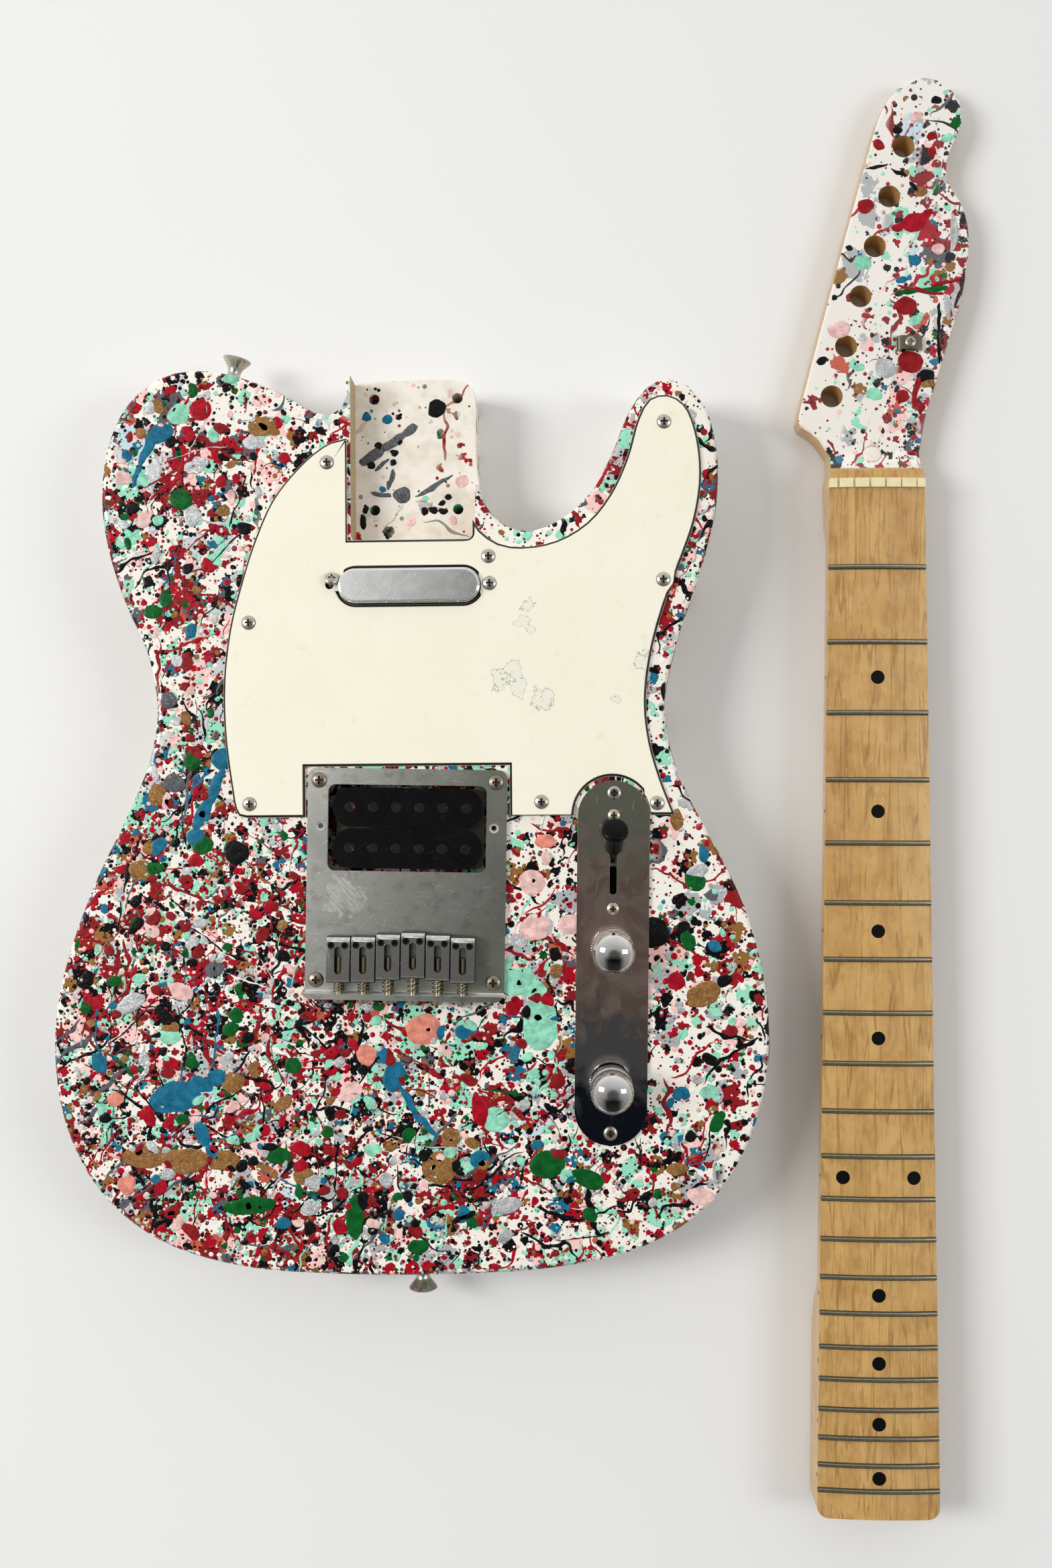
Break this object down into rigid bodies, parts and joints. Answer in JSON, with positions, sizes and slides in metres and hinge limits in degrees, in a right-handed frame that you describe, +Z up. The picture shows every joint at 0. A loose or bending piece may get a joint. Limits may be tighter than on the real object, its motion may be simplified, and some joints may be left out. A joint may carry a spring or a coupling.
{
  "type": "electric guitar",
  "caption": "Solid-body electric guitar with a splatter-painted single-cutaway body, controls and bridge, its bolt-on maple neck taken off and lying beside it.",
  "frame": {"origin": "on the body's flat back, on its centre line, below the end wall of the neck pocket", "axes": "+Z up out of the body's face, +Y towards the headstock end, +X towards the treble side, where the neck lies"},
  "size_m": [0.4188, 0.6611, 0.0707],
  "materials": {
    "painted_wood": "cream paint covered in layers of hand-splattered colours",
    "laminate": "cream three-ply laminate with a black middle layer, scratched",
    "nickel_screws": "worn nickel plate, dirt in the recesses",
    "chrome_cover": "bright chrome plate with fine scratches",
    "black_fibre": "black moulded bobbin",
    "magnet": "cast magnet rods",
    "bridge_chrome": "dulled chrome plate, scratched and hazed",
    "saddle_metal": "cast saddle blocks, plated and tarnished",
    "black_screw": "blackened steel",
    "spring_steel": "spring wire",
    "nickel_silver": "pressed nickel silver",
    "panel_chrome": "mirror chrome, worn at the edge",
    "switch_steel": "zinc-plated pressed steel",
    "black_tip": "black moulded plastic",
    "pot_steel": "plated steel can and threaded bushing",
    "knob_chrome": "chromed brass, knurled sides",
    "maple": "amber lacquered maple, cream paint on the headstock's face",
    "fret_wire": "dull nickel silver wire, tarnished olive-grey",
    "cream_nut": "cream nut blank",
    "dot_black": "black inlay",
    "rod_steel": "steel rod with a slotted nut",
    "walnut": "dark walnut"
  },
  "bodies": {
    "guitar": {"body": "painted_wood", "pickguard": "laminate", "cover_screws": "nickel_screws", "neck_pickup_cover": "chrome_cover", "neck_pickup_bobbin": "black_fibre", "neck_pickup_magnets": "magnet", "neck_pickup_screws": "nickel_screws", "bridge_plate": "bridge_chrome", "bridge_screws": "nickel_screws", "bridge_pickup_bobbins": "black_fibre", "bridge_pickup_poles": "black_screw", "bridge_pickup_base": "nickel_silver", "control_plate": "panel_chrome", "switch_screws": "nickel_screws", "switch_frame": "switch_steel", "volume_pot": "pot_steel", "tone_pot": "pot_steel", "pot_nuts": "pot_steel", "strap_buttons": "nickel_screws", "strap_screws": "nickel_screws", "jack_cup": "bridge_chrome", "jack_socket": "pot_steel", "neck": "maple", "frets": "fret_wire", "nut": "cream_nut", "position_dots": "dot_black", "string_tree": "nickel_screws", "string_tree_screw": "nickel_screws", "truss_rod": "rod_steel", "walnut_inlays": "walnut", "saddle_spring_1": "spring_steel", "saddle_spring_2": "spring_steel", "saddle_spring_3": "spring_steel", "saddle_spring_4": "spring_steel", "saddle_spring_5": "spring_steel", "saddle_spring_6": "spring_steel"},
    "volume": {"volume_shaft": "pot_steel", "volume_knob": "knob_chrome"},
    "tone": {"tone_shaft": "pot_steel", "tone_knob": "knob_chrome"},
    "selector": {"switch_lever": "switch_steel", "switch_tip": "black_tip"},
    "intonation_1": {"intonation_screw_1": "nickel_screws"},
    "saddle_1": {"saddle_1": "saddle_metal", "height_screws_1": "black_screw"},
    "intonation_2": {"intonation_screw_2": "nickel_screws"},
    "saddle_2": {"saddle_2": "saddle_metal", "height_screws_2": "black_screw"},
    "intonation_3": {"intonation_screw_3": "nickel_screws"},
    "saddle_3": {"saddle_3": "saddle_metal", "height_screws_3": "black_screw"},
    "intonation_4": {"intonation_screw_4": "nickel_screws"},
    "saddle_4": {"saddle_4": "saddle_metal", "height_screws_4": "black_screw"},
    "intonation_5": {"intonation_screw_5": "nickel_screws"},
    "saddle_5": {"saddle_5": "saddle_metal", "height_screws_5": "black_screw"},
    "intonation_6": {"intonation_screw_6": "nickel_screws"},
    "saddle_6": {"saddle_6": "saddle_metal", "height_screws_6": "black_screw"}
  },
  "joints": [
    {"name": "volume_turn", "type": "hinge", "parent": "guitar", "child": "volume", "pos_m": [0.08712, -0.1816, 0.0545], "axis": [0, 0, 1], "range_deg": [-140, 140]},
    {"name": "tone_turn", "type": "hinge", "parent": "guitar", "child": "tone", "pos_m": [0.08597, -0.24119, 0.0545], "axis": [0, 0, 1], "range_deg": [-140, 140]},
    {"name": "selector_throw", "type": "hinge", "parent": "guitar", "child": "selector", "pos_m": [0.08785, -0.14331, 0.0365], "axis": [0.9998, -0.0192, 0], "range_deg": [0, 58]},
    {"name": "intonation_turn_1", "type": "hinge", "parent": "guitar", "child": "intonation_1", "pos_m": [-0.03356, -0.19654, 0.05082], "axis": [0.0227, 0.9997, 0], "range_deg": [-2160, 1080]},
    {"name": "intonation_turn_2", "type": "hinge", "parent": "guitar", "child": "intonation_2", "pos_m": [-0.02263, -0.19679, 0.05082], "axis": [0.0227, 0.9997, 0], "range_deg": [-2160, 1080]},
    {"name": "intonation_turn_3", "type": "hinge", "parent": "guitar", "child": "intonation_3", "pos_m": [-0.01169, -0.19704, 0.05082], "axis": [0.0227, 0.9997, 0], "range_deg": [-2160, 1080]},
    {"name": "intonation_turn_4", "type": "hinge", "parent": "guitar", "child": "intonation_4", "pos_m": [-0.00075, -0.19728, 0.05082], "axis": [0.0227, 0.9997, 0], "range_deg": [-2160, 1080]},
    {"name": "intonation_turn_5", "type": "hinge", "parent": "guitar", "child": "intonation_5", "pos_m": [0.01018, -0.19753, 0.05082], "axis": [0.0227, 0.9997, 0], "range_deg": [-2160, 1080]},
    {"name": "intonation_turn_6", "type": "hinge", "parent": "guitar", "child": "intonation_6", "pos_m": [0.02112, -0.19778, 0.05082], "axis": [0.0227, 0.9997, 0], "range_deg": [-2160, 1080]},
    {"name": "saddle_travel_1", "type": "slide", "parent": "guitar", "child": "saddle_1", "axis": [0.0227, 0.9997, 0], "range_m": [-0.0016, 0.0032], "deforming": ["saddle_spring_1"]},
    {"name": "saddle_travel_2", "type": "slide", "parent": "guitar", "child": "saddle_2", "axis": [0.0227, 0.9997, 0], "range_m": [-0.0016, 0.0032], "deforming": ["saddle_spring_2"]},
    {"name": "saddle_travel_3", "type": "slide", "parent": "guitar", "child": "saddle_3", "axis": [0.0227, 0.9997, 0], "range_m": [-0.0016, 0.0032], "deforming": ["saddle_spring_3"]},
    {"name": "saddle_travel_4", "type": "slide", "parent": "guitar", "child": "saddle_4", "axis": [0.0227, 0.9997, 0], "range_m": [-0.0016, 0.0032], "deforming": ["saddle_spring_4"]},
    {"name": "saddle_travel_5", "type": "slide", "parent": "guitar", "child": "saddle_5", "axis": [0.0227, 0.9997, 0], "range_m": [-0.0016, 0.0032], "deforming": ["saddle_spring_5"]},
    {"name": "saddle_travel_6", "type": "slide", "parent": "guitar", "child": "saddle_6", "axis": [0.0227, 0.9997, 0], "range_m": [-0.0016, 0.0032], "deforming": ["saddle_spring_6"]}
  ]
}
